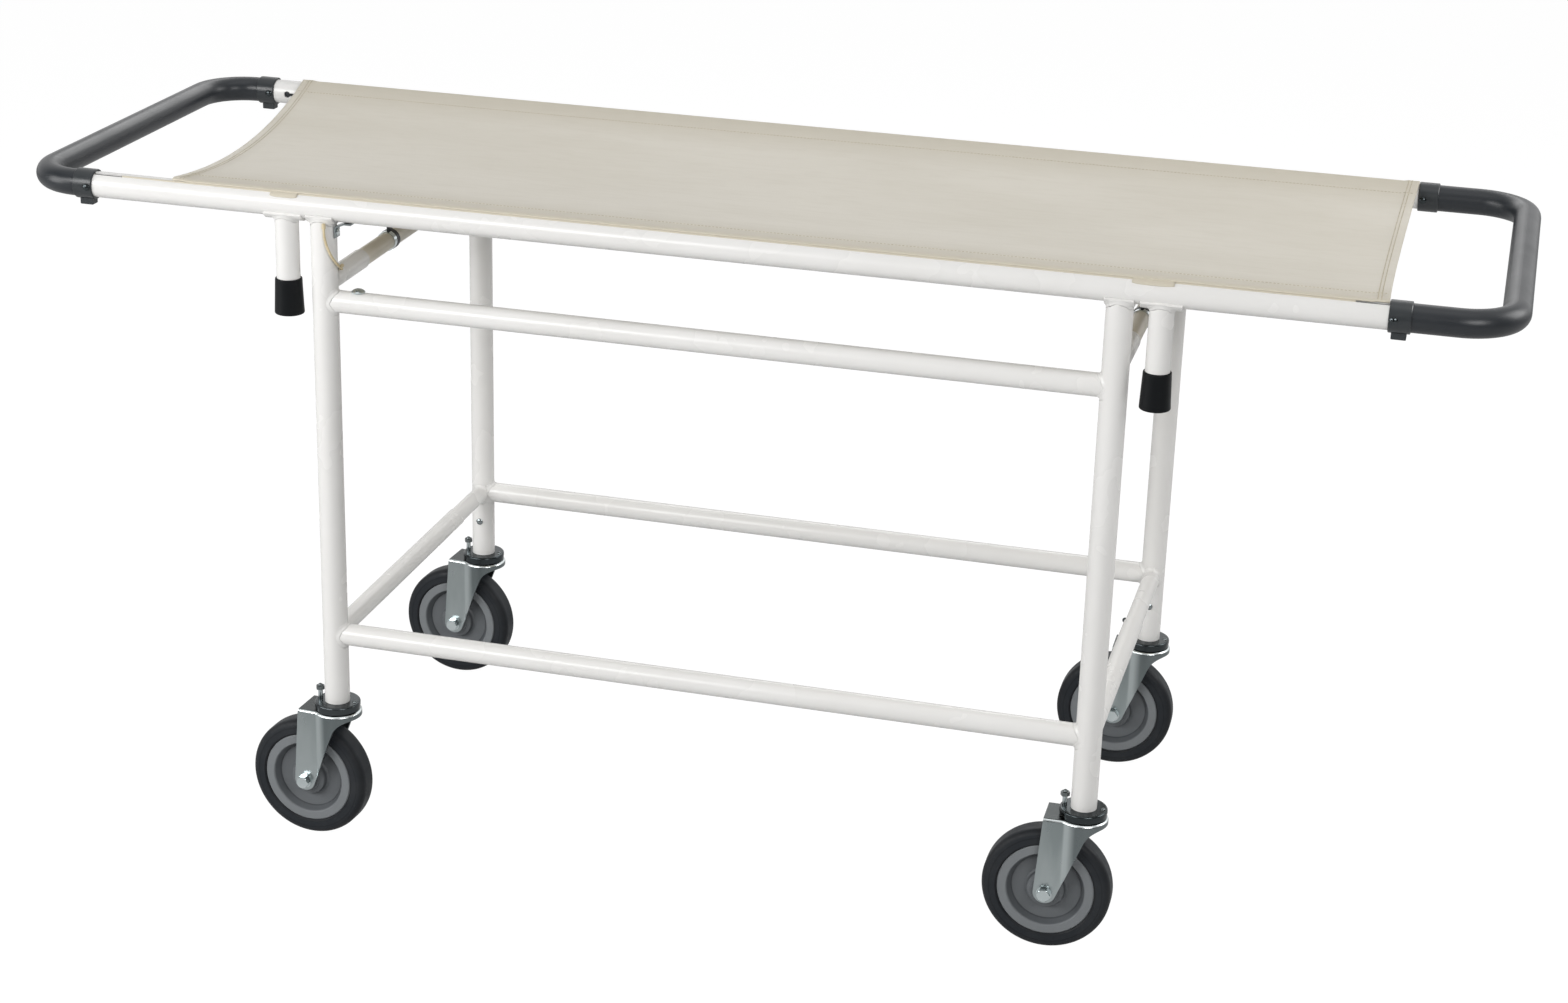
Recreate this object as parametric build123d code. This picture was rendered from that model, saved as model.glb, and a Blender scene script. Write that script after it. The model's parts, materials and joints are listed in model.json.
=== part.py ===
from build123d import *
import os
from math import asin, cos, degrees, pi, radians, sin, tan

# Patient trolley: a knock-down tube frame on four swivel castors, carrying a lift-off canvas stretcher.
# Millimetres. +X runs along the bed to the end with the longer handle, +Y from the near side to the
# far side, +Z up. The origin is on the floor under the middle of the whole trolley.

ENDS = {"left": -1, "right": 1}
SIDES = {"near": -1, "far": 1}

# Frame tubes
leg_spacing = 970.0
track = 536.0
leg_radius = 16.0
leg_wall = 2.0
bar_radius = 14.0
bar_wall = 2.0
upper_bar_drop = 117.0
lower_bar_height = 285.0
bar_stub_length = 95.0
bar_stub_wall = 2.0
bar_bolt_offset = 43.0

# Cross tubes: a sleeve on the near leg slides over a tube from the far leg
cross_radius = 12.5
cross_wall = 1.1
upper_cross_rise = 21.5
stub_wall = 2.0
upper_sleeve_length = 110.0
left_lower_stub_length = 108.0
right_lower_stub_length = 183.0
stub_overlap = 60.0
joint_screw_offset = 12.0
ferrule_offset = 88.5
ferrule_width = 9.0
ferrule_thickness = 1.2
clip_width = 8.0
clip_thickness = 1.6
clip_tab_height = 5.0

# Saddles on the leg tops
saddle_thickness = 3.0
saddle_length = 34.0
saddle_wrap = 60.0
rail_rest_gap = 0.3

# Stretcher rails and canvas
rail_height = 845.0
rail_radius = 16.0
rail_wall = 2.0
rail_half_length = 796.0
canvas_thickness = 2.0
canvas_gap = 0.3
canvas_sag = 22.0
canvas_edge_angle = 22.0
canvas_near_left_inset = 116.0
canvas_far_left_inset = 51.0
bead_radius = 3.4
bead_gap = 0.3
bead_end_gap = 5.0
slot_width = 3.6
web_thickness = 2.0
web_proud = 1.2
keyhole_offset = 33.0
keyhole_radius = 4.5
keyhole_slot_width = 4.0
keyhole_slot_length = 13.0

# Handles and their collars
handle_radius = 16.5
handle_wall = 3.0
handle_bend = 60.0
left_handle_arm = 16.0
right_handle_arm = 64.0
plug_length = 45.0
plug_wall = 2.4
plug_root = 9.0
collar_width = 25.0
collar_radius = 18.6
collar_lug_length = 17.0
collar_lug_width = 12.0
collar_lug_drop = 7.0
collar_edge = 0.8
collar_bolt_inset = 6.5
canvas_collar_gap = 0.6

# Stretcher legs and feet
leg_plate_gap = 7.0
foot_leg_radius = 14.5
foot_leg_wall = 2.0
leg_plate_length = 48.0
leg_plate_thickness = 3.0
leg_plate_wrap = 56.0
foot_drop = 138.0
foot_height = 45.0
foot_base = 8.0
foot_top_radius = 16.6
foot_bottom_radius = 18.4
foot_edge = 1.6

# Castors
wheel_radius = 80.0
tyre_half_width = 17.5
tyre_shoulder = 10.0
tyre_seat_radius = 60.0
rim_inset = 1.0
rim_lip = 1.2
rim_ring_radius = 48.0
dish_radius = 43.0
web_half_thickness = 7.0
hub_radius = 22.5
hub_step_radius = 17.0
hub_step = 2.0
bush_radius = 9.0
axle_radius = 6.0
tyre_side_gap = 3.5
hub_side_gap = 1.5
fork_wall = 3.5
trail = 38.0
crown_clearance = 16.5
crown_flare = 6.5
crown_back = 7.0
crown_skirt = 8.0
crown_neck_fillet = 9.0
crown_edge = 4.0
throat_radius = 25.0
cheek_lean = 21.0
eye_radius = 14.0
bearing_gap = 0.6
race_height = 5.0
race_inset = 0.4
race_bore = 8.0
race_edge = 1.4
ball_radius = 2.5
ball_circle = 20.5
ball_count = 12
flange_thickness = 5.5
flange_rim = 5.8
flange_edge = 2.4
stem_root = 1.2
stem_screw_drop = 41.9
stem_above_screw = 19.0
kingpin_radius = 6.0
kingpin_depth = 36.0
kingpin_head_radius = 11.0
kingpin_head_height = 6.0
flange_bolt_gap = 1.7
groove_roof = 1.2
flange_bolt_stand = 12.0
low_stud_stand = 2.0
left_castor_heading = 4.0
right_castor_heading = -1.0

# Fasteners
small_screw_radius = 2.5
small_head_radius = 4.6
small_head_height = 2.6
joint_head_radius = 3.6
joint_head_height = 4.5
bolt_radius = 4.0
bolt_head_radius = 8.5
bolt_head_height = 5.0
flange_bolt_radius = 3.0
flange_nut_flats = 10.0
flange_nut_height = 5.0
axle_head_flats = 15.0
axle_head_height = 7.0
axle_washer_radius = 9.5
axle_washer_thickness = 2.0
dome_share = 0.7
hex_turned_share = 0.9

# Lanyard and the bright clip on the near left leg
cord_radius = 1.5
crimp_radius = 2.3
crimp_length = 6.0
crimp_gap = 0.3
crimp_pin_radius = 1.6
upper_crimp_drop = 19.0
upper_crimp_turn = 24.0
lower_crimp_reach = 17.0
lower_crimp_angle = 60.0
clip_strip_width = 14.0
clip_strip_thickness = 2.0
clip_screw_drop = 29.0
clip_strip_tail = 6.5
clip_strip_step = 12.0
clip_strip_rest = 9.0

# Fits
slip_gap = 0.1
screw_gap = 0.05
running_gap = 0.06
thrust_gap = 0.3

# Worked out from the sizes above
handle_reach = {"left": left_handle_arm + handle_bend, "right": right_handle_arm + handle_bend}
lower_stub_length = {"left": left_lower_stub_length, "right": right_lower_stub_length}
castor_heading = {"left": left_castor_heading, "right": right_castor_heading}
bed_x = (handle_reach["left"] - handle_reach["right"]) / 2
half_track = track / 2
crown_top = 2 * wheel_radius + crown_clearance + fork_wall
race_bottom = crown_top + bearing_gap
flange_bottom = race_bottom + race_height
leg_bottom = flange_bottom + flange_thickness
stem_screw_height = lower_bar_height - stem_screw_drop - leg_bottom
stem_length = stem_screw_height + stem_above_screw
upper_bar_height = rail_height - upper_bar_drop
foot_bottom = rail_height - foot_drop
upper_cross_height = upper_bar_height + upper_cross_rise
saddle_inner = rail_radius + rail_rest_gap
saddle_outer = saddle_inner + saddle_thickness
rail_bore = rail_radius - rail_wall
stub_radius = cross_radius - cross_wall - slip_gap
plug_radius = rail_bore - slip_gap
stem_radius = leg_radius - leg_wall - slip_gap
rim_half_width = tyre_half_width - rim_inset
fork_inside = tyre_half_width + tyre_side_gap
fork_outside = fork_inside + fork_wall
hub_half_width = fork_inside - hub_side_gap
crown_radius = fork_outside + crown_flare
flange_bolt_circle = leg_radius + flange_bolt_gap + flange_nut_flats / (2 * cos(pi / 6))
flange_radius = flange_bolt_circle + flange_rim
race_radius = flange_radius - race_inset
ball_height = race_bottom - bearing_gap / 2
flange_bolt_depth = leg_bottom - ball_height - ball_radius - groove_roof
foot_leg_offset = saddle_length / 2 + leg_plate_gap + leg_plate_length / 2
crimp_stand = crimp_gap + crimp_radius
clip_screw_height = rail_height - clip_screw_drop


def leg_place(end, side):
    """Where a frame leg stands on the floor plan."""
    return bed_x + ENDS[end] * leg_spacing / 2, SIDES[side] * half_track


def hollow(radius, wall, length):
    """A tube standing on Z, centred on the origin."""
    return Cylinder(radius, length) - Cylinder(radius - wall, length)


def lay_x(shape):
    """Turn a shape that points up so that it points along +X."""
    return Rot(0, 90, 0) * shape


def lay_y(shape):
    """Turn a shape that points up so that it points along -Y."""
    return Rot(90, 0, 0) * shape


def standing(radius, bottom, top):
    """A solid round bar on Z between two heights."""
    return Pos(0, 0, (bottom + top) / 2) * Cylinder(radius, top - bottom)


def screw(radius, length, head_radius, head_height):
    """A dome-headed screw: the head sits on z = 0 and the shank points down."""
    dome_height = dome_share * head_height
    dome_radius = (head_radius**2 + dome_height**2) / (2 * dome_height)
    head = standing(head_radius, 0, head_height) & Pos(0, 0, head_height - dome_radius) * Sphere(dome_radius)
    return head + standing(radius, -length, 0)


def hexagon(flats, height):
    """A hexagonal head or nut standing on z = 0, with its upper corners turned off."""
    corner = flats / (2 * cos(pi / 6))
    prism = extrude(RegularPolygon(corner, 6), height)
    turned = standing(corner, 0, height)
    return prism & chamfer(turned.edges().sort_by(Axis.Z)[-1], hex_turned_share * (corner - flats / 2))


def through_bolt(span):
    """A small bolt and its nut across a span: the head sits on z = 0 and the nut under the span."""
    bolt = screw(small_screw_radius, span + small_head_height, small_head_radius, small_head_height)
    nut = Pos(0, 0, -span - small_head_height) * hexagon(2 * small_head_radius, small_head_height)
    return [bolt, nut - standing(small_screw_radius + screw_gap, -2 * span, 0)]


def screw_hole(length):
    """The hole for a small screw, centred on the origin along Z."""
    return Cylinder(small_screw_radius + screw_gap, length)


def ring_sector(inner, outer, wrap, length):
    """A curved plate along X that cradles a round rail from below, wrap degrees to each side."""
    ring = lay_x(Cylinder(outer, length) - Cylinder(inner, length))
    reach = 2 * outer
    wedge = Plane.YZ * Polygon(
        (0, 0),
        (-reach * sin(radians(wrap)), -reach * cos(radians(wrap))),
        (0, -2 * reach),
        (reach * sin(radians(wrap)), -reach * cos(radians(wrap))),
        align=None,
    )
    return ring & extrude(wedge, length, both=True)


# Frame

def build_leg(end, side):
    """A leg tube, coped under its saddle, with the hole for the castor stem's screw."""
    inward = -SIDES[side]
    leg = Pos(0, 0, (leg_bottom + rail_height) / 2) * hollow(leg_radius, leg_wall, rail_height - leg_bottom)
    leg -= Pos(0, 0, rail_height) * lay_x(Cylinder(saddle_outer, 4 * leg_radius))
    leg -= Pos(0, inward * leg_radius, leg_bottom + stem_screw_height) * lay_y(screw_hole(3 * leg_wall))
    if (end, side) == ("left", "near"):
        leg -= upper_crimp_place() * crimp_pin(crimp_pin_radius + screw_gap)
        leg -= Pos(leg_radius, 0, clip_screw_height) * lay_x(screw_hole(3 * leg_wall))
    x, y = leg_place(end, side)
    return Pos(x, y, 0) * leg


def leg_cutter(end, side):
    """The outside of a leg, for coping the tubes that are welded to it."""
    x, y = leg_place(end, side)
    return Pos(x, y, rail_height / 2) * Cylinder(leg_radius, rail_height)


def build_saddle(end, side):
    x, y = leg_place(end, side)
    return Pos(x, y, rail_height) * ring_sector(saddle_inner, saddle_outer, saddle_wrap, saddle_length)


def bar_bolt_place(side):
    x, y = leg_place("left", side)
    return Pos(x + bar_bolt_offset, y, upper_bar_height + bar_radius)


def bar_bolt_hole(side):
    return bar_bolt_place(side) * Cylinder(bolt_radius + screw_gap, 2 * bar_radius)


def build_bar(level, side):
    """A side bar between two legs. The upper one has a bolt hole near its left end."""
    height = {"upper": upper_bar_height, "lower": lower_bar_height}[level]
    bar = Pos(bed_x, SIDES[side] * half_track, height) * lay_x(hollow(bar_radius, bar_wall, leg_spacing))
    for end in ENDS:
        bar -= leg_cutter(end, side)
    if level == "upper":
        bar -= bar_bolt_hole(side)
    return bar


def build_bar_stub(side):
    """The short tube on the left leg that an upper bar slides over."""
    x, y = leg_place("left", side)
    stub = lay_x(hollow(bar_radius - bar_wall - slip_gap, bar_stub_wall, bar_stub_length))
    stub = Pos(x + bar_stub_length / 2, y, upper_bar_height) * stub
    return stub - leg_cutter("left", side) - bar_bolt_hole(side)


def build_bar_bolt(side):
    return bar_bolt_place(side) * screw(bolt_radius, bar_radius, bolt_head_radius, bolt_head_height)


def tube_across(radius, wall, x, y_from, y_to, height):
    """A tube along Y between two places."""
    return Pos(x, (y_from + y_to) / 2, height) * lay_y(hollow(radius, wall, y_to - y_from))


def bars_at(height):
    """The outsides of the side bars at a height, for coping the cross tubes that meet the same legs."""
    bar = lay_x(Cylinder(bar_radius, leg_spacing))
    return [Pos(bed_x, sign * half_track, height) * bar for sign in SIDES.values()]


def cross_height(level):
    return {"upper": upper_cross_height, "lower": lower_bar_height}[level]


def coped(tube, level, end, side):
    """A cross tube cut to fit round its leg and clear of the side bars."""
    tube -= leg_cutter(end, side)
    for bar in bars_at({"upper": upper_bar_height, "lower": lower_bar_height}[level]):
        tube -= bar
    return tube


def joint_y(level, end):
    """The open end of a cross tube's sleeve."""
    if level == "upper":
        return -half_track + upper_sleeve_length
    return half_track - lower_stub_length[end]


def joint_screw_place(end):
    """The spot on the left face of a lower stub, just past the sleeve, where its stop screw goes in."""
    x = leg_place(end, "far")[0] - stub_radius
    return Pos(x, joint_y("lower", end) + joint_screw_offset, lower_bar_height) * Rot(0, -90, 0)


def build_sleeve(level, end):
    """The outer half of a cross tube, welded to the near leg."""
    x = leg_place(end, "near")[0]
    sleeve = tube_across(cross_radius, cross_wall, x, -half_track, joint_y(level, end), cross_height(level))
    sleeve = coped(sleeve, level, end, "near")
    if (level, end) == ("upper", "left"):
        sleeve -= near_left_leg() * lower_crimp_place() * crimp_pin(crimp_pin_radius + screw_gap)
    return sleeve


def build_inner_tube(level, end):
    """The inner half of a cross tube, welded to the far leg and reaching into the sleeve."""
    x = leg_place(end, "far")[0]
    inner_end = joint_y(level, end) - stub_overlap
    tube = tube_across(stub_radius, stub_wall, x, inner_end, half_track, cross_height(level))
    tube = coped(tube, level, end, "far")
    if level == "lower":
        tube -= joint_screw_place(end) * screw_hole(6 * stub_wall)
    return tube


def build_cross_tube(level, end):
    """The longer half of a cross tube: the inner one when upper, the sleeve when lower."""
    return build_inner_tube(level, end) if level == "upper" else build_sleeve(level, end)


def build_cross_stub(level, end):
    """The shorter half of a cross tube."""
    return build_sleeve(level, end) if level == "upper" else build_inner_tube(level, end)


def build_joint_screw(end):
    """The stop screw beside a lower cross tube's joint."""
    head = screw(small_screw_radius, 2 * stub_wall, joint_head_radius, joint_head_height)
    return joint_screw_place(end) * head


def ferrule_place(end):
    return Pos(leg_place(end, "near")[0], joint_y("upper", end) + ferrule_offset, upper_cross_height)


def build_ferrule(end):
    """The bright ring on an upper cross tube."""
    outer = stub_radius + screw_gap + ferrule_thickness
    return ferrule_place(end) * lay_y(hollow(outer, ferrule_thickness, ferrule_width))


def build_clip(end):
    """The dark band beside the ferrule, with its closing tab on top."""
    outer = stub_radius + screw_gap + clip_thickness
    band = lay_y(hollow(outer, clip_thickness, clip_width))
    tab = Pos(0, 0, outer + clip_tab_height / 2 - clip_thickness / 2) * Box(
        clip_tab_height, clip_width, clip_tab_height
    )
    return ferrule_place(end) * Pos(0, (ferrule_width + clip_width) / 2, 0) * (band + tab)


# Lanyard, its two crimps and the bright clip, all on the near left leg and placed from its axis

upper_crimp_height = rail_height - upper_crimp_drop
upper_crimp_distance = leg_radius + crimp_stand
lower_crimp_distance = cross_radius + crimp_stand
lower_crimp_offset = leg_radius + lower_crimp_reach
cord_start = (
    upper_crimp_distance * sin(radians(upper_crimp_turn)),
    -upper_crimp_distance * cos(radians(upper_crimp_turn)),
    upper_crimp_height - crimp_length / 2,
)
cord_end = (
    lower_crimp_distance * cos(radians(lower_crimp_angle)),
    lower_crimp_offset - crimp_length / 2,
    upper_cross_height + lower_crimp_distance * sin(radians(lower_crimp_angle)),
)
cord_points = [
    cord_start,
    (cord_start[0], cord_start[1], cord_start[2] - 6.0),
    (cord_start[0] + 0.9, cord_start[1] - 0.3, cord_start[2] - 13.0),
    (cord_start[0] + 3.3, cord_start[1], cord_start[2] - 22.0),
    (cord_start[0] + 7.2, cord_start[1] + 2.2, cord_start[2] - 33.5),
    (cord_start[0] + 11.1, cord_start[1] + 7.5, cord_end[2] + 17.0),
    (cord_start[0] + 13.3, cord_start[1] + 14.4, cord_end[2] + 10.0),
    (cord_end[0] + 13.0, cord_end[1] - 25.6, cord_end[2] + 5.4),
    (cord_end[0] + 8.7, cord_end[1] - 16.8, cord_end[2] + 2.4),
    (cord_end[0] + 2.9, cord_end[1] - 9.4, cord_end[2] + 0.6),
    (cord_end[0], cord_end[1] - 4.0, cord_end[2]),
    cord_end,
]


def near_left_leg():
    x, y = leg_place("left", "near")
    return Pos(x, y, 0)


def upper_crimp_place():
    """On the leg under the rail, with Z pointing out of the tube and Y along it."""
    return Pos(0, 0, upper_crimp_height) * Rot(0, 0, upper_crimp_turn) * Rot(90, 0, 0) * Pos(0, 0, leg_radius)


def lower_crimp_place():
    """On the upper cross sleeve beside the leg, with Z pointing out of the tube and Y along it."""
    turn = Rot(0, 90 - lower_crimp_angle, 0)
    return Pos(0, lower_crimp_offset, upper_cross_height) * turn * Pos(0, 0, cross_radius)


def crimp_pin(radius):
    """The pin under a crimp, from inside the tube's wall up to the middle of the barrel."""
    return standing(radius, -2 * leg_wall, crimp_stand)


def build_crimp(place):
    """A short barrel along a tube that holds one end of the cord, on a pin through the tube's wall."""
    barrel = Pos(0, 0, crimp_stand) * lay_y(Cylinder(crimp_radius, crimp_length))
    return near_left_leg() * place * (barrel + crimp_pin(crimp_pin_radius))


def build_lanyard_fittings():
    return [build_crimp(upper_crimp_place()), build_crimp(lower_crimp_place())]


def build_lanyard():
    """The thin cord that hangs down the front of the leg and round to the cross tube."""
    points = [Vector(*point) for point in cord_points]
    radii = []
    for before, point, after in zip(points, points[1:], points[2:]):
        turn = (point - before).get_angle(after - point)
        shorter = min((point - before).length, (after - point).length)
        radii.append(0.45 * shorter / tan(radians(turn / 2)))
    print("lanyard bend radii", [round(radius, 1) for radius in radii])
    path = FilletPolyline(*cord_points, radius=radii)
    cord = sweep(Plane(path @ 0, z_dir=path % 0) * Circle(cord_radius), path=path)
    print("lanyard length", round(path.length, 1))
    print("lanyard volume against section times length", cord.volume / (pi * cord_radius**2 * path.length))
    return near_left_leg() * cord


def build_rail_clip():
    """A bent strip on the leg whose upper end lies under the rail."""
    half = clip_strip_thickness / 2
    top = rail_height - rail_radius - rail_rest_gap - half
    inside = leg_radius + half
    step_out = inside + clip_strip_step
    route = Polyline(
        (inside, clip_screw_height - clip_strip_tail),
        (inside, clip_screw_height + clip_strip_tail),
        (step_out, top),
        (step_out + clip_strip_rest, top),
    )
    strip = extrude(Plane.XZ * trace(route, clip_strip_thickness), clip_strip_width / 2, both=True)
    strip -= Pos(inside, 0, clip_screw_height) * lay_x(screw_hole(2 * clip_strip_thickness))
    return near_left_leg() * strip


def build_rail_clip_screw():
    length = clip_strip_thickness + 2 * leg_wall
    head = screw(small_screw_radius, length, small_head_radius, small_head_height)
    return near_left_leg() * Pos(leg_radius + clip_strip_thickness, 0, clip_screw_height) * lay_x(head)


# Castors. Each is made with its kingpin on the Z axis and its wheel trailing towards -X, then turned.

def castor_place(end, side):
    x, y = leg_place(end, side)
    return Pos(x, y, 0) * Rot(0, 0, -castor_heading[end])


def flange_bolt_spots(end, side):
    x, y = leg_place(end, side)
    return [Pos(x + sign * flange_bolt_circle, y, leg_bottom) for sign in (-1, 1)]


def flange_bolt_hole():
    return standing(flange_bolt_radius + screw_gap, -flange_bolt_depth, flange_thickness)


def build_flange(end, side):
    """The round top plate of a castor with the stem that fills the foot of the leg."""
    x, y = leg_place(end, side)
    plate = Pos(0, 0, flange_bottom + flange_thickness / 2) * Cylinder(flange_radius, flange_thickness)
    plate = fillet(plate.edges().group_by(Axis.Z)[-1], flange_edge)
    plate += standing(stem_radius, leg_bottom - stem_root, leg_bottom + stem_length)
    plate -= standing(kingpin_radius + screw_gap, flange_bottom, flange_bottom + kingpin_depth)
    inward = -SIDES[side]
    plate -= Pos(0, inward * stem_radius, leg_bottom + stem_screw_height) * lay_y(screw_hole(2 * stem_radius))
    plate = Pos(x, y, 0) * plate
    for spot in flange_bolt_spots(end, side):
        plate -= spot * flange_bolt_hole()
    return plate


def ball_groove(clearance):
    return Torus(ball_circle, ball_radius + clearance)


def build_race(end, side):
    """The thick bearing ring bolted under a flange, grooved for the balls."""
    x, y = leg_place(end, side)
    race = Pos(0, 0, race_bottom + race_height / 2) * Cylinder(race_radius, race_height)
    race = fillet(race.edges().group_by(Axis.Z)[0], race_edge)
    race -= standing(race_bore, race_bottom, flange_bottom)
    race -= Pos(0, 0, ball_height) * ball_groove(screw_gap)
    race = Pos(x, y, 0) * race
    for spot in flange_bolt_spots(end, side):
        race -= spot * flange_bolt_hole()
    return race


def build_balls(end, side):
    x, y = leg_place(end, side)
    spots = PolarLocations(ball_circle, ball_count)
    return [Pos(x, y, ball_height) * spot * Sphere(ball_radius) for spot in spots]


def stud(shank_top):
    """A stud through flange and race, domed above its shank."""
    low = -flange_bolt_depth
    return standing(flange_bolt_radius, low, shank_top) + Pos(0, 0, shank_top) * Sphere(flange_bolt_radius)


def build_flange_bolts(end, side):
    """Two studs through flange and race: the left one tall under a nut, the right one a low dome."""
    left, right = flange_bolt_spots(end, side)
    nut_top = flange_bolt_stand + flange_nut_height
    nut = Pos(0, 0, flange_bolt_stand) * hexagon(flange_nut_flats, flange_nut_height)
    nut -= standing(flange_bolt_radius + screw_gap, 0, 2 * nut_top)
    return [left * stud(nut_top), left * nut, right * stud(low_stud_stand - flange_bolt_radius)]


def build_kingpin(end, side):
    """The headed pin that carries the fork."""
    x, y = leg_place(end, side)
    head_top = crown_top - fork_wall - thrust_gap
    pin = standing(kingpin_radius, head_top, flange_bottom + kingpin_depth)
    pin += standing(kingpin_head_radius, head_top - kingpin_head_height, head_top)
    return Pos(x, y, 0) * pin


def build_stem_screw(end, side):
    """The screw through the inner face of a leg into the castor's stem."""
    x, y = leg_place(end, side)
    inward = -SIDES[side]
    head = screw(small_screw_radius, leg_radius / 2, small_head_radius, small_head_height)
    turn = Rot(90, 0, 0) if inward < 0 else Rot(-90, 0, 0)
    return Pos(x, y + inward * leg_radius, leg_bottom + stem_screw_height) * turn * head


def crown_outline(inset, back):
    """Plan of the fork: a round head over the kingpin and straight cheeks back past the axle."""
    cheeks = Pos(-back / 2, 0) * Rectangle(back, 2 * (fork_outside - inset))
    outline = cheeks + Circle(crown_radius - inset)
    neck = [vertex for vertex in outline.vertices() if -crown_radius < vertex.X < 0]
    return fillet(neck, crown_neck_fillet)


def fork_profile():
    """Side view of the fork: crown, skirt, raked leading edge, axle eye and trailing edge."""
    lean = radians(cheek_lean)
    skirt = crown_top - crown_skirt
    eye_front = (-trail + eye_radius * cos(lean), wheel_radius - eye_radius * sin(lean))
    eye_back = (-trail - eye_radius, wheel_radius)
    throat = (eye_front[0] + (skirt - eye_front[1]) * tan(lean), skirt)
    back_top = (-trail - crown_back, crown_top)
    face = make_face(
        [
            Polyline(eye_back, back_top, (crown_radius, crown_top), (crown_radius, skirt), throat, eye_front),
            ThreePointArc(eye_front, (-trail, wheel_radius - eye_radius), eye_back),
        ]
    )
    return fillet(face.vertices().sort_by_distance(throat)[0], throat_radius)


def build_fork(end, side):
    """The pressed fork: crown over the wheel, two cheeks down to the axle."""
    low = wheel_radius - 2 * eye_radius
    reach = trail + 2 * eye_radius
    body = Pos(0, 0, low) * extrude(crown_outline(0.0, reach), crown_top - low)
    body = fillet(body.edges().group_by(Axis.Z)[-1], crown_edge)
    hollow_top = crown_top - fork_wall
    cavity = extrude(crown_outline(fork_wall, 2 * reach), hollow_top - low)
    body -= Pos(0, 0, low) * cavity
    body &= extrude(Plane.XZ * fork_profile(), 2 * crown_radius, both=True)
    body -= standing(kingpin_radius + running_gap, hollow_top - fork_wall, crown_top)
    body -= Pos(0, 0, ball_height) * ball_groove(thrust_gap)
    body -= Pos(-trail, 0, wheel_radius) * lay_y(Cylinder(axle_radius + screw_gap, 4 * fork_outside))
    return castor_place(end, side) * body


def axle_head():
    """A hexagonal head on its round flange, standing on z = 0."""
    head = Pos(0, 0, axle_washer_thickness) * hexagon(axle_head_flats, axle_head_height)
    return head + standing(axle_washer_radius, 0, axle_washer_thickness)


def build_axle(end, side):
    """The axle bolt, its nut and the bush that the wheel turns on."""
    bolt = Pos(0, 0, fork_outside) * axle_head()
    bolt += standing(axle_radius, -fork_outside - axle_head_height, fork_outside)
    nut = Rot(180, 0, 0) * Pos(0, 0, fork_outside) * axle_head()
    nut -= standing(axle_radius + screw_gap, -2 * fork_outside, 0)
    bush = Cylinder(bush_radius, 2 * fork_inside) - Cylinder(axle_radius + screw_gap, 2 * fork_inside)
    at_axle = castor_place(end, side) * Pos(-trail, 0, wheel_radius)
    return [at_axle * lay_y(piece) for piece in (bolt, nut, bush)]


def mirrored_face(half):
    """A wheel section from the points of its upper half: radius along X, width along Y."""
    points = half + [(radius, -width) for radius, width in reversed(half)]
    return make_face(Polyline(*points, close=True))


def build_rim(end, side):
    """The grey wheel centre: stepped hub, dished web and raised ring."""
    half = [
        (bush_radius + running_gap, hub_half_width),
        (hub_step_radius, hub_half_width),
        (hub_step_radius + hub_step / 2, hub_half_width - hub_step),
        (hub_radius, hub_half_width - 2 * hub_step),
        (hub_radius + hub_step, web_half_thickness + hub_step),
        (hub_radius + 2 * hub_step, web_half_thickness),
        (dish_radius, web_half_thickness),
        (rim_ring_radius, rim_half_width - rim_lip),
        (rim_ring_radius + rim_lip, rim_half_width),
        (tyre_seat_radius - rim_lip, rim_half_width),
        (tyre_seat_radius, rim_half_width - rim_lip),
    ]
    rim = revolve(mirrored_face(half), Axis.Y)
    return castor_place(end, side) * Pos(-trail, 0, wheel_radius) * rim


def build_tyre(end, side):
    """The tyre: flat side walls and rounded shoulders."""
    seat = rim_half_width - rim_lip
    half = [
        (tyre_seat_radius, seat),
        (tyre_seat_radius + tyre_half_width - seat, tyre_half_width),
        (wheel_radius, tyre_half_width),
    ]
    section = mirrored_face(half)
    shoulders = section.vertices().group_by(Axis.X)[-1]
    tyre = revolve(fillet(shoulders, tyre_shoulder), Axis.Y)
    return castor_place(end, side) * Pos(-trail, 0, wheel_radius) * tyre


# Stretcher

def rail_axis(side):
    return Pos(bed_x, SIDES[side] * half_track, rail_height)


def collar_bolt_places(side):
    inset = rail_half_length - collar_bolt_inset
    return [rail_axis(side) * Pos(sign * inset, 0, 0) for sign in ENDS.values()]


def collar_bolt_holes(side):
    return [place * lay_y(screw_hole(4 * collar_radius)) for place in collar_bolt_places(side)]


def edge_tilt(side):
    """The outward lean of the slot that the canvas edge goes into."""
    return Rot(SIDES[side] * -canvas_edge_angle, 0, 0)


def build_rail(side):
    """A rail tube with the slot for the canvas edge and a keyhole near its left end."""
    rail = lay_x(hollow(rail_radius, rail_wall, 2 * rail_half_length))
    rail -= edge_tilt(side) * Pos(0, 0, rail_radius) * Box(2 * rail_half_length, slot_width, 3 * rail_wall)
    inward = -SIDES[side]
    keyhole = Circle(keyhole_radius)
    keyhole += Pos(keyhole_slot_length / 2, 0) * Rectangle(keyhole_slot_length, keyhole_slot_width)
    cut = extrude(Plane.XZ * keyhole, 2 * rail_wall, both=True)
    rail -= Pos(keyhole_offset - rail_half_length, inward * rail_radius, 0) * cut
    rail = rail_axis(side) * rail
    for hole in collar_bolt_holes(side):
        rail -= hole
    return rail


def wrap_point(side, radius, outward):
    """A point around a rail in the Y, Z plane, at an angle from the top towards the outside."""
    return (
        SIDES[side] * (half_track + radius * sin(radians(outward))),
        radius * cos(radians(outward)),
    )


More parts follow.
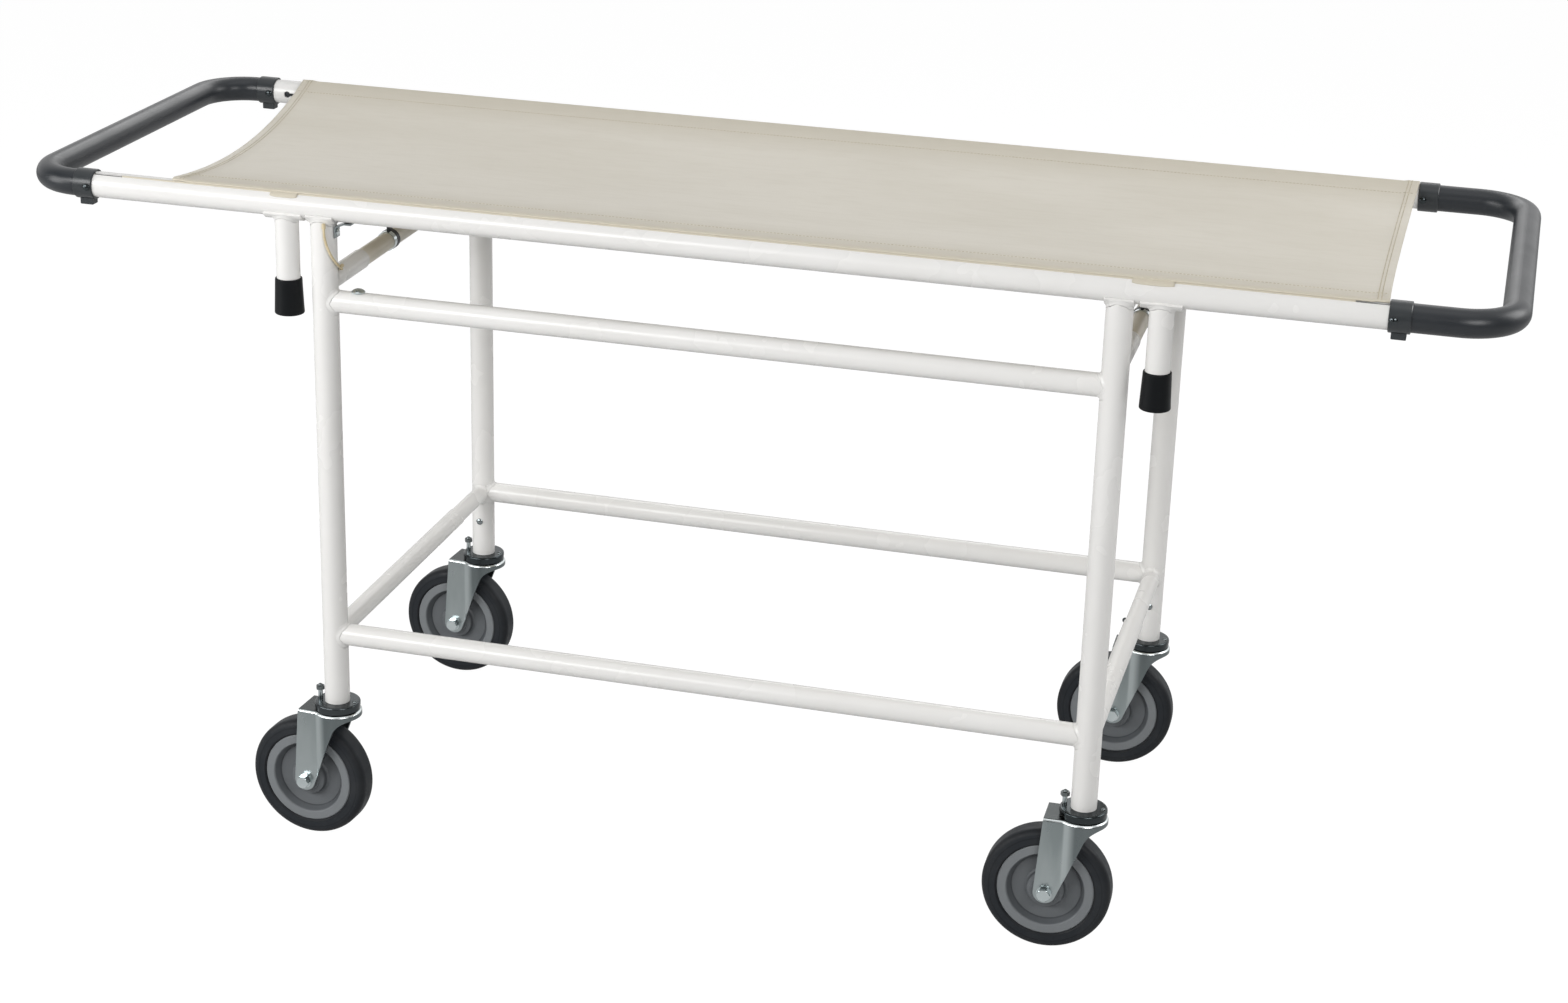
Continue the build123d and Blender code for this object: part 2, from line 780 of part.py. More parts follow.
def canvas_face(radius, sweep_angle):
    """The three arcs of one canvas surface: over the near rail, down the sag and over the far rail."""
    middle = (canvas_edge_angle - sweep_angle) / 2
    near = [wrap_point("near", radius, angle) for angle in (canvas_edge_angle, middle, -sweep_angle)]
    far = [wrap_point("far", radius, angle) for angle in (-sweep_angle, middle, canvas_edge_angle)]
    sag = ThreePointArc(near[2], (0, radius - canvas_sag), far[0])
    return [ThreePointArc(*near), sag, ThreePointArc(*far)]


def canvas_trim():
    """Plan of the canvas: square at the right end, skewed at the left end."""
    right = rail_half_length - collar_width / 2 - canvas_collar_gap
    near = canvas_near_left_inset - rail_half_length
    far = canvas_far_left_inset - rail_half_length
    reach = 2.0
    middle = (near + far) / 2
    skew = (far - near) / 2
    return Polygon(
        (middle - reach * skew, -reach * half_track),
        (right, -reach * half_track),
        (right, reach * half_track),
        (middle + reach * skew, reach * half_track),
        align=None,
    )


def bead_strip(side):
    """The canvas edge inside the rail: a round bead and the web that comes up through the slot."""
    bead_centre = rail_radius - rail_wall - bead_gap - bead_radius
    web_top = rail_radius + web_proud
    section = Pos(0, bead_centre) * Circle(bead_radius)
    section += Pos(0, (bead_centre + web_top) / 2) * Rectangle(web_thickness, web_top - bead_centre)
    length = rail_half_length - plug_length - bead_end_gap
    strip = extrude(Plane.YZ * section, length, both=True)
    return Pos(0, SIDES[side] * half_track, 0) * edge_tilt(side) * strip


def build_canvas():
    """The bed: a sagging sheet over both rails, held by a bead along each edge."""
    inner = rail_radius + canvas_gap
    outer = inner + canvas_thickness
    sag_reach = (half_track**2 + canvas_sag**2) / (2 * canvas_sag)
    sweep_angle = degrees(asin(half_track / sag_reach))
    upper = canvas_face(outer, sweep_angle)
    lower = canvas_face(inner, sweep_angle)
    ends = [Line(upper[0] @ 0, lower[0] @ 0), Line(upper[2] @ 1, lower[2] @ 1)]
    section = make_face(upper + lower + ends)
    sheet = extrude(Plane.YZ * section, rail_half_length, both=True)
    sheet &= extrude(canvas_trim(), 4 * canvas_sag, both=True)
    for side in SIDES:
        sheet += bead_strip(side)
    return Pos(bed_x, 0, rail_height) * sheet


def build_handle(end):
    """A U handle whose drawn-down ends plug into the two rails."""
    cross_x = rail_half_length + handle_reach[end]
    path = FilletPolyline(
        (rail_half_length, -half_track, 0),
        (cross_x, -half_track, 0),
        (cross_x, half_track, 0),
        (rail_half_length, half_track, 0),
        radius=handle_bend,
    )
    section = Circle(handle_radius) - Circle(handle_radius - handle_wall)
    handle = sweep(Plane(path @ 0, z_dir=path % 0) * section, path=path)
    for sign in SIDES.values():
        plug = lay_x(hollow(plug_radius, plug_wall, plug_length + plug_root))
        handle += Pos(rail_half_length + (plug_root - plug_length) / 2, sign * half_track, 0) * plug
    if end == "left":
        handle = Rot(0, 0, 180) * handle
    handle = Pos(bed_x, 0, rail_height) * handle
    for side in SIDES:
        for hole in collar_bolt_holes(side):
            handle -= hole
    return handle


def build_collar(end, side):
    """The stepped sleeve over a rail and handle joint, with a lug under it except at the far right."""
    collar = lay_x(Cylinder(collar_radius, collar_width))
    collar = chamfer(collar.edges().filter_by(GeomType.CIRCLE), collar_edge)
    if (end, side) != ("right", "far"):
        lug_height = collar_radius + collar_lug_drop
        lug = Pos(0, 0, -lug_height / 2) * Box(collar_lug_length, collar_lug_width, lug_height)
        collar += fillet(lug.edges().group_by(Axis.Z)[0], 2 * collar_edge)
    half = collar_width / 2
    collar -= lay_x(Cylinder(rail_radius + screw_gap, collar_width))
    collar -= Pos(half / 2, 0, 0) * lay_x(Cylinder(handle_radius + screw_gap, half))
    if end == "left":
        collar = Rot(0, 0, 180) * collar
    collar = rail_axis(side) * Pos(ENDS[end] * rail_half_length, 0, 0) * collar
    for hole in collar_bolt_holes(side):
        collar -= hole
    return collar


def build_collar_bolts(side):
    """Bolts across the collars, head to the near side and nut to the far side."""
    outward = Pos(0, -collar_radius, 0) * Rot(90, 0, 0)
    pieces = through_bolt(2 * collar_radius)
    return [place * outward * piece for place in collar_bolt_places(side) for piece in pieces]


def foot_leg_place(end, side):
    x, y = leg_place(end, side)
    return Pos(x + ENDS[end] * foot_leg_offset, y, 0)


def build_leg_plate(end, side):
    """The curved plate welded under a rail that carries a stretcher leg."""
    plate = ring_sector(rail_radius, rail_radius + leg_plate_thickness, leg_plate_wrap, leg_plate_length)
    return foot_leg_place(end, side) * Pos(0, 0, rail_height) * plate


def build_foot_leg(end, side):
    """A short stretcher leg, coped under its plate."""
    bottom = foot_bottom + foot_base
    leg = Pos(0, 0, (bottom + rail_height) / 2) * hollow(foot_leg_radius, foot_leg_wall, rail_height - bottom)
    leg -= Pos(0, 0, rail_height) * lay_x(Cylinder(rail_radius + leg_plate_thickness, 4 * foot_leg_radius))
    return foot_leg_place(end, side) * leg


def build_foot(end, side):
    """A rubber tip that is pushed over a stretcher leg."""
    foot = Pos(0, 0, foot_bottom + foot_height / 2) * Cone(foot_bottom_radius, foot_top_radius, foot_height)
    foot = fillet(foot.edges().filter_by(GeomType.CIRCLE), foot_edge)
    foot -= standing(foot_leg_radius + screw_gap, foot_bottom + foot_base, foot_bottom + foot_height)
    return foot_leg_place(end, side) * foot


def flatten(shapes):
    """One flat list of solids from shapes and lists of shapes."""
    found = []
    for shape in shapes:
        found += shape if isinstance(shape, list) else [shape]
    return found


def every_corner(build):
    return flatten(build(end, side) for end in ENDS for side in SIDES)


# One file for each piece; identical small pieces share a file

os.makedirs("parts", exist_ok=True)


def save(name, shape):
    whole = Compound(children=shape) if isinstance(shape, list) else shape
    export_step(whole, f"parts/{name}.step")


for end in ENDS:
    for side in SIDES:
        corner = f"{side}_{end}"
        save(f"{corner}_leg", build_leg(end, side))
        save(f"{corner}_castor_fork", build_fork(end, side))
        save(f"{corner}_castor_axle", build_axle(end, side))
        save(f"{corner}_wheel_rim", build_rim(end, side))
        save(f"{corner}_tyre", build_tyre(end, side))
        save(f"{corner}_stretcher_leg", build_foot_leg(end, side))
    for level in ("upper", "lower"):
        save(f"{end}_{level}_cross_tube", build_cross_tube(level, end))
    save(f"{end}_handle", build_handle(end))

for side in SIDES:
    for level in ("upper", "lower"):
        save(f"{side}_{level}_bar", build_bar(level, side))
    save(f"{side}_rail", build_rail(side))

save("upper_bar_stubs", [build_bar_stub(side) for side in SIDES])
save("upper_bar_bolts", [build_bar_bolt(side) for side in SIDES])
save("cross_tube_stubs", [build_cross_stub(level, end) for level in ("upper", "lower") for end in ENDS])
save("cross_joint_bolts", [build_joint_screw(end) for end in ENDS])
save("cross_tube_ferrules", [build_ferrule(end) for end in ENDS])
save("cross_tube_clips", [build_clip(end) for end in ENDS])
save("rail_saddles", every_corner(build_saddle))
save("castor_flanges", every_corner(build_flange))
save("flange_bolts", every_corner(build_flange_bolts))
save("swivel_races", every_corner(build_race))
save("swivel_balls", every_corner(build_balls))
save("kingpins", every_corner(build_kingpin))
save("stem_screws", every_corner(build_stem_screw))
save("lanyard", build_lanyard())
save("lanyard_fittings", build_lanyard_fittings())
save("rail_clip", build_rail_clip())
save("rail_clip_screw", build_rail_clip_screw())
save("canvas_bed", build_canvas())
save("handle_collars", every_corner(build_collar))
save("collar_bolts", flatten(build_collar_bolts(side) for side in SIDES))
save("stretcher_leg_plates", every_corner(build_leg_plate))
save("stretcher_feet", every_corner(build_foot))
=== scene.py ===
import json
import math

import bmesh
import bpy
from mathutils import Matrix, Vector


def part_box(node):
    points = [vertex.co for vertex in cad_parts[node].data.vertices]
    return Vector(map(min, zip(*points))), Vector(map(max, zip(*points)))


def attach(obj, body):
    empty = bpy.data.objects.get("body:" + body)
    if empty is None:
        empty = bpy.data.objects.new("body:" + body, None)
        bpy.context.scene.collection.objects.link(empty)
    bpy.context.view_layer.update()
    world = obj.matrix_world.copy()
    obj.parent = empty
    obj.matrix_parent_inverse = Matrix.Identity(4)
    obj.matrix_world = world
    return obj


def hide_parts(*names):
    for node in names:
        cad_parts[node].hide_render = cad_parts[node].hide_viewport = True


# Patient trolley: finishes, canvas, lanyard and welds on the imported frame, with its floor, camera and light

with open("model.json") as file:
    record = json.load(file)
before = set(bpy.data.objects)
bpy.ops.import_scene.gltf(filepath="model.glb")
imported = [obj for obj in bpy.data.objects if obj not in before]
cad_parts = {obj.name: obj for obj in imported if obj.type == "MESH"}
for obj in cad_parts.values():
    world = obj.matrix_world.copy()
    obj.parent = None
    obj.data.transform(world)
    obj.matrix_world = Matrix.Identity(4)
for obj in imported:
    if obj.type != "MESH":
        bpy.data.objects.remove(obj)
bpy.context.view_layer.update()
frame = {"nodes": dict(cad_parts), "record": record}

# Driving sizes in metres and angles in degrees, the same as in the part's source

leg_spacing = 0.970
track = 0.536
leg_radius = 0.016
bar_radius = 0.014
upper_bar_drop = 0.117
lower_bar_height = 0.285
cross_radius = 0.0125
cross_wall = 0.0011
slip_gap = 0.0001
upper_cross_rise = 0.0215
saddle_thickness = 0.003
saddle_length = 0.034
rail_rest_gap = 0.0003
rail_height = 0.845
rail_radius = 0.016
rail_half_length = 0.796
canvas_thickness = 0.002
canvas_gap = 0.0003
canvas_sag = 0.022
canvas_edge_angle = 22.0
canvas_near_left_inset = 0.116
canvas_far_left_inset = 0.051
canvas_collar_gap = 0.0006
bead_end_gap = 0.005
left_handle_arm = 0.016
right_handle_arm = 0.064
plug_length = 0.045
collar_width = 0.025
leg_plate_gap = 0.007
leg_plate_length = 0.048
leg_plate_thickness = 0.003
foot_leg_radius = 0.0145
wheel_radius = 0.080
tyre_half_width = 0.0175
tyre_shoulder = 0.010
tyre_seat_radius = 0.060
rim_ring_radius = 0.048
dish_radius = 0.043
hub_radius = 0.0225
tyre_side_gap = 0.0035
fork_wall = 0.0035
flange_bolt_stand = 0.012
left_castor_heading = 4.0
right_castor_heading = -1.0
cord_radius = 0.0015


# Worked out from the sizes above, with the flanges' top from a leg that stands on one

bed_x = (left_handle_arm - right_handle_arm) / 2
half_spacing = leg_spacing / 2
half_track = track / 2
left_leg_x = bed_x - half_spacing
near_y = -half_track
upper_bar_height = rail_height - upper_bar_drop
upper_cross_height = upper_bar_height + upper_cross_rise
stub_radius = cross_radius - cross_wall - slip_gap
saddle_outer = rail_radius + rail_rest_gap + saddle_thickness
plate_outer = rail_radius + leg_plate_thickness
foot_leg_offset = saddle_length / 2 + leg_plate_gap + leg_plate_length / 2
canvas_inner = rail_radius + canvas_gap
canvas_near_left = canvas_near_left_inset - rail_half_length
canvas_far_left = canvas_far_left_inset - rail_half_length
canvas_right = rail_half_length - collar_width / 2 - canvas_collar_gap
web_half_length = rail_half_length - plug_length - bead_end_gap
tyre_shoulder_radius = wheel_radius - tyre_shoulder
fork_outside = tyre_half_width + tyre_side_gap + fork_wall
flange_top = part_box("near_left_leg")[0].z


# Sizes in metres of what only the scene adds: bowed ends, ripples, hems, stitches, tabs, edges and welds

canvas_left_bow = 0.006
canvas_right_bow = 0.005
cloth_thickness = 0.85 * canvas_thickness
long_ripple = 0.0009
short_ripple = 0.0006
calm_end = 0.08
hem_width = 0.017
hem_lift = 0.0009
hem_step = 0.002
hem_stitch_insets = (0.0095, 0.0135)
hem_stitch_overrun = 0.004
hem_stitches = 120
side_stitch_inset = 0.040
side_stitches = 330
stitch_seat = 0.44 * canvas_thickness
left_tab_span = (-0.549, -0.514)
right_tab_span = (0.498, 0.546)
tab_gap = 0.0008
tab_thickness = 0.0009
web_depth = 0.004
web_crown = 0.0006
bar_weld = 0.0042
saddle_weld = 0.0045
plate_weld = 0.0035
weld_root = 0.001


# Camera, matched to the photograph's view

image_width = 1568.0
focal_pixels = 2916.2
camera_place = Vector((0.905891 + bed_x, -3.425264, 1.794445))
yaw = math.radians(14.327)
pitch = math.radians(21.083)
roll = math.radians(1.717)
back = Vector((math.sin(yaw) * math.cos(pitch), -math.cos(yaw) * math.cos(pitch), math.sin(pitch)))
level_right = Vector((math.cos(yaw), math.sin(yaw), 0.0))
level_up = back.cross(level_right)
right = level_right * math.cos(roll) + level_up * math.sin(roll)
up = level_up * math.cos(roll) - level_right * math.sin(roll)
camera_data = bpy.data.cameras.new("photo_camera")
camera_data.sensor_fit = "HORIZONTAL"
camera_data.sensor_width = 36.0
camera_data.lens = focal_pixels / image_width * camera_data.sensor_width
camera = bpy.data.objects.new("photo_camera", camera_data)
bpy.context.collection.objects.link(camera)
turn = Matrix((right, up, back)).transposed().to_4x4()
camera.matrix_world = Matrix.Translation(camera_place) @ turn
bpy.context.scene.camera = camera
bpy.context.scene.view_settings.view_transform = "Standard"


# Small tools for meshes and materials

def add_mesh(name, vertices, faces, smooth=True):
    """A new mesh object in the scene."""
    mesh = bpy.data.meshes.new(name)
    mesh.from_pydata(vertices, [], faces)
    mesh.update()
    for polygon in mesh.polygons:
        polygon.use_smooth = smooth
    piece = bpy.data.objects.new(name, mesh)
    bpy.context.collection.objects.link(piece)
    return piece


def grid_faces(rows, columns, wrap=False):
    """Quads over a grid of points stored row by row."""
    faces = []
    last = columns if wrap else columns - 1
    for row in range(rows - 1):
        for column in range(last):
            after = (column + 1) % columns
            start = row * columns
            faces.append((start + column, start + after, start + columns + after, start + columns + column))
    return faces


def smoothstep(low, high, value):
    share = min(max((value - low) / (high - low), 0.0), 1.0)
    return share * share * (3 - 2 * share)


def joined(shapes):
    """The vertices and faces of several shapes as one."""
    vertices = []
    faces = []
    for more_vertices, more_faces in shapes:
        base = len(vertices)
        vertices += more_vertices
        faces += [tuple(base + corner for corner in face) for face in more_faces]
    return vertices, faces


def paint(piece, material):
    piece.data.materials.clear()
    piece.data.materials.append(material)


def node_math(tree, operation, first, second):
    """One sum in a node tree, from sockets or numbers."""
    node = tree.nodes.new("ShaderNodeMath")
    node.operation = operation
    for socket, value in zip(node.inputs, (first, second)):
        if isinstance(value, (int, float)):
            socket.default_value = value
        else:
            tree.links.new(value, socket)
    return node.outputs["Value"]


def node_range(tree, value, low, high, start, end):
    """A number that runs from low to high as the value goes from start to end."""
    node = tree.nodes.new("ShaderNodeMapRange")
    for name, number in (("From Min", start), ("From Max", end), ("To Min", low), ("To Max", high)):
        node.inputs[name].default_value = number
    tree.links.new(value, node.inputs["Value"])
    return node.outputs["Result"]


class Shader:
    """A node material with one Principled shader and a few helpers."""

    def __init__(self, name):
        self.material = bpy.data.materials.new(name)
        self.material.use_nodes = True
        self.tree = self.material.node_tree
        self.nodes = self.tree.nodes
        self.links = self.tree.links
        self.main = self.nodes["Principled BSDF"]
        surface = self.nodes.new("ShaderNodeTexCoord").outputs
        self.place = surface["Object"]
        self.facing = surface["Normal"]

    def set(self, **values):
        for name, value in values.items():
            self.main.inputs[name.replace("_", " ")].default_value = value

    def noise(self, scale, detail=3.0, stretch=(1.0, 1.0, 1.0)):
        """A noise value, with the pattern stretched along the axes."""
        mapping = self.nodes.new("ShaderNodeMapping")
        mapping.inputs["Scale"].default_value = stretch
        self.links.new(self.place, mapping.inputs["Vector"])
        noise = self.nodes.new("ShaderNodeTexNoise")
        noise.inputs["Scale"].default_value = scale
        noise.inputs["Detail"].default_value = detail
        self.links.new(mapping.outputs["Vector"], noise.inputs["Vector"])
        return noise.outputs["Fac"]

    def minus(self, vector, point):
        """A vector taken from a fixed point."""
        node = self.nodes.new("ShaderNodeVectorMath")
        node.operation = "SUBTRACT"
        node.inputs[1].default_value = point
        self.links.new(vector, node.inputs[0])
        return node.outputs["Vector"]

    def along(self, vector, direction):
        """How far a vector reaches in a fixed direction."""
        node = self.nodes.new("ShaderNodeVectorMath")
        node.operation = "DOT_PRODUCT"
        node.inputs[1].default_value = direction
        self.links.new(vector, node.inputs[0])
        return node.outputs["Value"]

    def ramp(self, value, low, high, start=0.35, end=0.65):
        """A colour that runs from low to high as the value goes from start to end."""
        ramp = self.nodes.new("ShaderNodeValToRGB")
        ramp.color_ramp.interpolation = "EASE"
        ramp.color_ramp.elements[0].position = start
        ramp.color_ramp.elements[1].position = end
        ramp.color_ramp.elements[0].color = (*low, 1.0)
        ramp.color_ramp.elements[1].color = (*high, 1.0)
        self.links.new(value, ramp.inputs["Fac"])
        return ramp.outputs["Color"]

    def spread(self, value, low, high, start=0.35, end=0.65):
        """A number that runs from low to high as the value goes from start to end."""
        return node_range(self.tree, value, low, high, start, end)

    def math(self, operation, first, second):
        return node_math(self.tree, operation, first, second)

    def mix(self, share, first, second):
        """A mix of two colours by a share."""
        node = self.nodes.new("ShaderNodeMix")
        node.data_type = "RGBA"
        self.links.new(share, node.inputs["Factor"])
        for socket, value in ((node.inputs["A"], first), (node.inputs["B"], second)):
            if isinstance(value, tuple):
                socket.default_value = (*value, 1.0)
            else:
                self.links.new(value, socket)
        return node.outputs["Result"]

    def link(self, value, name):
        self.links.new(value, self.main.inputs[name])

    def bump(self, height, strength, distance):
        node = self.nodes.new("ShaderNodeBump")
        node.inputs["Strength"].default_value = strength
        node.inputs["Distance"].default_value = distance
        self.links.new(height, node.inputs["Height"])
        self.links.new(node.outputs["Normal"], self.main.inputs["Normal"])


# Finishes of the painted, plated, moulded and woven surfaces

upright = (0.0, 0.0, 1.0)


def coated(name, low, high, rough, metallic=0.0, patch=9.0, grain=420.0, depth=0.00004, **extra):
    """A finish with slow colour changes, uneven gloss and a fine grain."""
    shader = Shader(name)
    shader.set(Metallic=metallic, **extra)
    shader.link(shader.ramp(shader.noise(patch), low, high), "Base Color")
    shader.link(shader.spread(shader.noise(2.3 * patch), *rough), "Roughness")
    shader.bump(shader.noise(grain, detail=2.0), strength=0.35, distance=depth)
    return shader.material


def dimmed(colour, share):
    return tuple(share * value for value in colour)


def plated(name, dark, light, rough, shades, top_shade, shaped=None):
    """Plated steel: tone in upright streaks, darkened in bands by height, and painted shade on faces that
    point up.
    """
    shader = Shader(name)
    shader.set(Metallic=1.0)
    tone = shader.ramp(shader.noise(scale=26.0, stretch=(1.0, 1.0, 0.22)), dark, light)
    height = shader.along(shader.place, upright)
    for (low, share_low), (high, share_high) in shades:
        share = shader.spread(height, share_low, share_high, start=low, end=high)
        tone = shader.mix(share, tone, dimmed(dark, 0.3))
    if shaped:
        tone = shaped(shader, tone)
    # Painted shade: faces that point up are darkened
    top = shader.spread(shader.along(shader.facing, upright), 0.0, top_shade, start=0.90, end=0.99)
    tone = shader.mix(top, tone, dimmed(dark, 0.1))
    shader.link(tone, "Base Color")
    gloss = shader.noise(scale=45.0, stretch=(1.0, 1.0, 0.3))
    shader.link(shader.spread(gloss, *rough), "Roughness")
    shader.bump(shader.noise(scale=140.0, detail=2.0), strength=0.2, distance=0.00001)
    return shader.material


fork_low = (0.330, 0.375, 0.380)
fork_high = (0.440, 0.485, 0.490)
# Colours of the fork's painted shade, of the painted highlight in its neck and of the painted highlight on
# its bends
fork_painted_shade = (0.120, 0.140, 0.145)
fork_painted_highlight = (0.520, 0.570, 0.575)
fork_lip_highlight = (0.740, 0.785, 0.790)
# Painted shade on a fork: darker towards the crown
fork_shades = [((wheel_radius, 0.0), (2.2 * wheel_radius, 0.25))]


def fork_finish(name, leg, heading):
    """Zinc plate of a pressed fork, with painted shade on the flared crown and its front, and painted
    highlights in the neck and on the rounded bends.
    """
    forward = Vector((math.cos(heading), -math.sin(heading), 0.0))
    aside = Vector((math.sin(heading), math.cos(heading), 0.0))

    def shaped(shader, tone):
        from_leg = shader.minus(shader.place, leg)
        out = shader.math("ABSOLUTE", shader.along(from_leg, aside), 0.0)
        # Painted shade on the flared sides of the crown and on its front
        flare = shader.spread(out, 0.0, 0.75, start=fork_outside + 0.0015, end=fork_outside + 0.0050)
        front = shader.spread(shader.along(from_leg, forward), 0.0, 0.75, start=-0.004, end=0.010)
        tone = shader.mix(shader.math("MAXIMUM", flare, front), tone, fork_painted_shade)
        # Painted highlight in the neck, where the faces turn back
        neck_highlight = shader.spread(shader.along(shader.facing, forward), 0.8, 0.0, start=-0.45, end=-0.15)
        tone = shader.mix(neck_highlight, tone, fork_painted_highlight)
        # Painted highlight on the rounded bends between the walls and the top
        rise = shader.along(shader.facing, upright)
        above_wall = shader.spread(rise, 0.0, 1.0, start=0.25, end=0.48)
        below_top = shader.spread(rise, 1.0, 0.0, start=0.80, end=0.92)
        return shader.mix(shader.math("MINIMUM", above_wall, below_top), tone, fork_lip_highlight)

    return plated(name, fork_low, fork_high, (0.26, 0.32), fork_shades, top_shade=0.97, shaped=shaped)


def smooth_coat(name, low, high, rough, patch, grain=120.0, **extra):
    """A finish whose grain is so shallow that only its gloss shows it."""
    return coated(name, low, high, rough, patch=patch, grain=grain, depth=0.00001, **extra)


paint_grain = 500.0
white_paint = smooth_coat(
    "white_paint", (0.770, 0.761, 0.742), (0.788, 0.780, 0.763), (0.25, 0.28), 5.0, grain=paint_grain
)
# Painted shade: the warmer, darker white of tubes lying in the canvas's shadow
under_canvas_shade_paint = smooth_coat(
    "under_canvas_shade_paint", (0.610, 0.560, 0.455), (0.680, 0.640, 0.550), (0.30, 0.38), 12.0, grain=paint_grain
)
handle_coat = smooth_coat(
    "handle_coat", (0.016, 0.019, 0.023), (0.021, 0.024, 0.028), (0.32, 0.38), 6.0, Specular_IOR_Level=0.4
)
collar_plastic = smooth_coat(
    "collar_plastic", (0.020, 0.024, 0.027), (0.026, 0.030, 0.033), (0.30, 0.38), 12.0
)
stud_shades = [
    ((flange_top + 0.002, 0.9), (flange_top + 0.005, 0.0)),
    ((flange_top + flange_bolt_stand - 0.0005, 0.0), (flange_top + flange_bolt_stand + 0.0005, 0.9)),
]
stud_zinc = plated(
    "stud_zinc", (0.42, 0.47, 0.48), (0.56, 0.61, 0.62), (0.16, 0.22), stud_shades, top_shade=0.7
)
zinc = smooth_coat(
    "zinc", (0.22, 0.25, 0.255), (0.32, 0.35, 0.355), (0.16, 0.24), 18.0, grain=150.0, metallic=1.0
)
dark_steel = smooth_coat(
    "dark_steel", (0.046, 0.054, 0.057), (0.066, 0.074, 0.078), (0.18, 0.26), 9.0, metallic=1.0
)
bright_steel = smooth_coat(
    "bright_steel", (0.56, 0.62, 0.63), (0.68, 0.73, 0.74), (0.10, 0.16), 15.0, metallic=1.0
)
tip_rubber = coated(
    "tip_rubber", (0.004, 0.005, 0.006), (0.007, 0.008, 0.009), (0.36, 0.46), Specular_IOR_Level=0.15
)
black_plastic = coated(
    "black_plastic", (0.006, 0.006, 0.007), (0.011, 0.011, 0.012), (0.30, 0.40), patch=30.0
)


dust_colour = (0.19, 0.185, 0.175)
# Painted shade of the tyre, in its creases and towards its tread
tyre_painted_shade = (0.012, 0.0135, 0.016)
tyre_grey = (0.019, 0.022, 0.026)
rim_disc = (0.126, 0.135, 0.143)
rim_ring = (0.186, 0.198, 0.207)
# Painted shade in the rim's grooves and on its dish wall, and a painted highlight on the ring's inner edge
rim_groove_shade = (0.055, 0.059, 0.064)
rim_wall_shade = (0.088, 0.095, 0.102)
rim_edge_highlight = (0.150, 0.160, 0.170)

# Colours from the axle outwards, each at its radius
# Tyre: painted shade where it meets the rim, in the line at the shoulder and towards the tread
tyre_bands = [
    (tyre_seat_radius, tyre_painted_shade),
    (tyre_seat_radius + 0.0018, tyre_painted_shade),
    (tyre_seat_radius + 0.0030, tyre_grey),
    (tyre_shoulder_radius - 0.0010, tyre_grey),
    (tyre_shoulder_radius, tyre_painted_shade),
    (tyre_shoulder_radius + 0.0012, tyre_grey),
    (wheel_radius - 0.0015, tyre_painted_shade),
    (wheel_radius, tyre_grey),
]
# Rim: painted shade in the groove by the hub, at the foot of the dish and on its wall, and a painted
# highlight at the ring's edge
rim_bands = [
    (0.0, rim_disc),
    (hub_radius + 0.0003, rim_disc),
    (hub_radius + 0.0011, rim_groove_shade),
    (hub_radius + 0.0021, rim_disc),
    (dish_radius - 0.0008, rim_disc),
    (dish_radius + 0.0002, rim_groove_shade),
    (dish_radius + 0.0012, rim_wall_shade),
    (rim_ring_radius - 0.0006, rim_wall_shade),
    (rim_ring_radius + 0.0002, rim_edge_highlight),
    (rim_ring_radius + 0.0012, rim_ring),
    (tyre_seat_radius, rim_ring),
]


def wheel_finish(name, node, heading, bands, rough, shine):
    """A moulded wheel: its colour, with painted shade and painted highlights, follows the distance from the
    axle, with dust and a fine grain.
    """
    shader = Shader(name)
    shader.set(Specular_IOR_Level=shine)
    low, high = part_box(node)
    from_axle = shader.minus(shader.place, (low + high) / 2)
    across = shader.nodes.new("ShaderNodeVectorMath")
    across.operation = "CROSS_PRODUCT"
    across.inputs[1].default_value = (math.sin(heading), math.cos(heading), 0.0)
    shader.links.new(from_axle, across.inputs[0])
    distance = shader.nodes.new("ShaderNodeVectorMath")
    distance.operation = "LENGTH"
    shader.links.new(across.outputs["Vector"], distance.inputs[0])
    place = shader.spread(distance.outputs["Value"], 0.0, 1.0, start=0.0, end=wheel_radius)
    ramp = shader.nodes.new("ShaderNodeValToRGB")
    elements = ramp.color_ramp.elements
    for number, (radius, colour) in enumerate(bands):
        if number > 1:
            elements.new(radius / wheel_radius)
        elements[number].position = radius / wheel_radius
        elements[number].color = (*colour, 1.0)
    shader.links.new(place, ramp.inputs["Fac"])
    dust = shader.spread(shader.noise(scale=22.0, detail=4.0), 0.0, 0.05, start=0.45, end=0.75)
    shader.link(shader.mix(dust, ramp.outputs["Color"], dust_colour), "Base Color")
    shader.link(shader.spread(shader.noise(scale=60.0), *rough), "Roughness")
    shader.bump(shader.noise(scale=260.0, detail=2.0), strength=0.3, distance=0.00002)
    return shader.material


